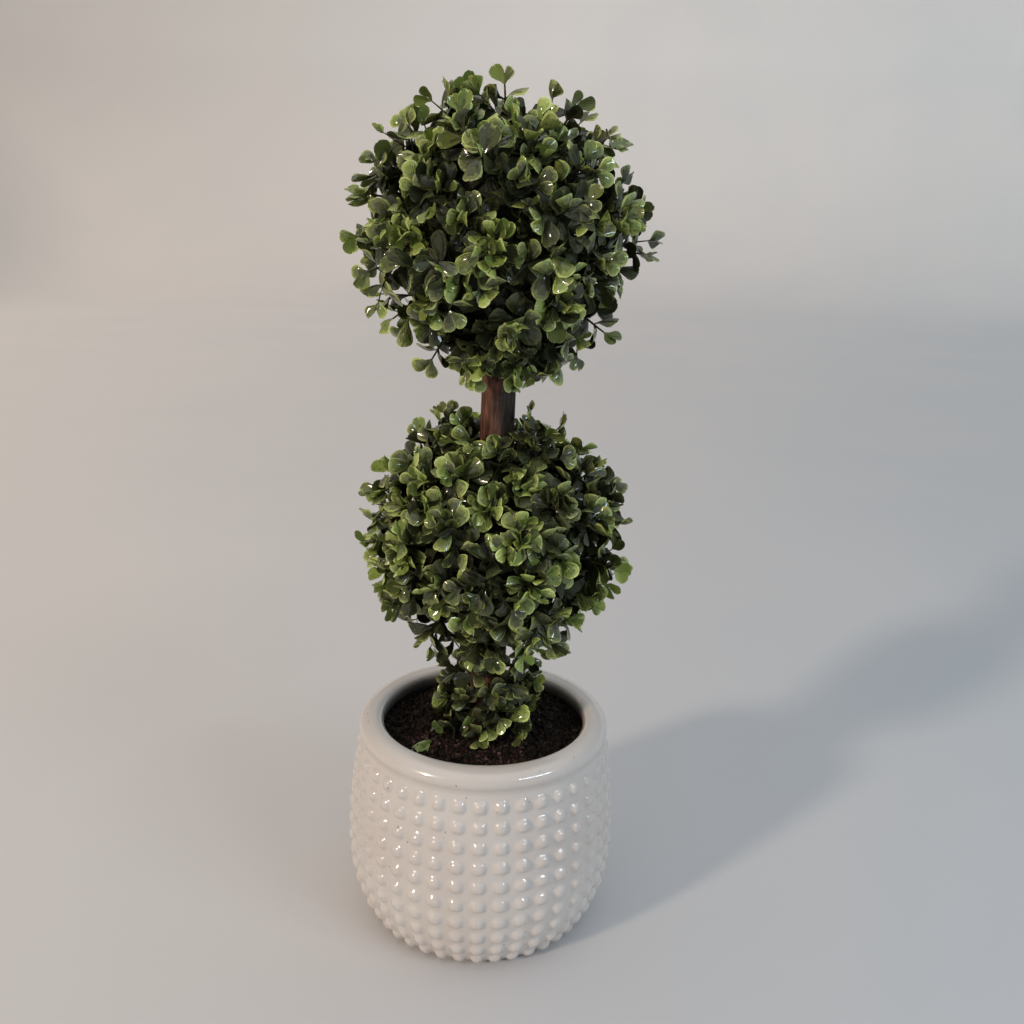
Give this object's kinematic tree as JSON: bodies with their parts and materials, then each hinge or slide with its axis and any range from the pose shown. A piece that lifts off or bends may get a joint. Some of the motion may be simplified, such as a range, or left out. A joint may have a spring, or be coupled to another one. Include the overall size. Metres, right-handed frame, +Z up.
{
  "type": "artificial double-ball topiary in a pot",
  "caption": "Artificial boxwood topiary: two clipped leaf balls one above the other on a short wooden stem, with sprigs round its foot, in a white glazed hobnail pot.",
  "frame": {"origin": "centre of the pot's flat underside, on the surface that the pot stands on", "axes": "+Z up along the stem; the side seen in the picture faces -Y, and +X is to its right"},
  "size_m": [0.138, 0.1352, 0.4082],
  "materials": {
    "glaze": "glossy off-white glaze over raised studs",
    "soil": "rough dark brown granules",
    "stem_wood": "matt reddish-brown bark",
    "leaves": "satin dark green plastic leaves with paler yellow-green tips"
  },
  "bodies": {
    "root": {"pot": "glaze", "soil": "soil", "trunk": "stem_wood", "lower_ball": "leaves", "upper_ball": "leaves", "skirt": "leaves"}
  },
  "joints": []
}
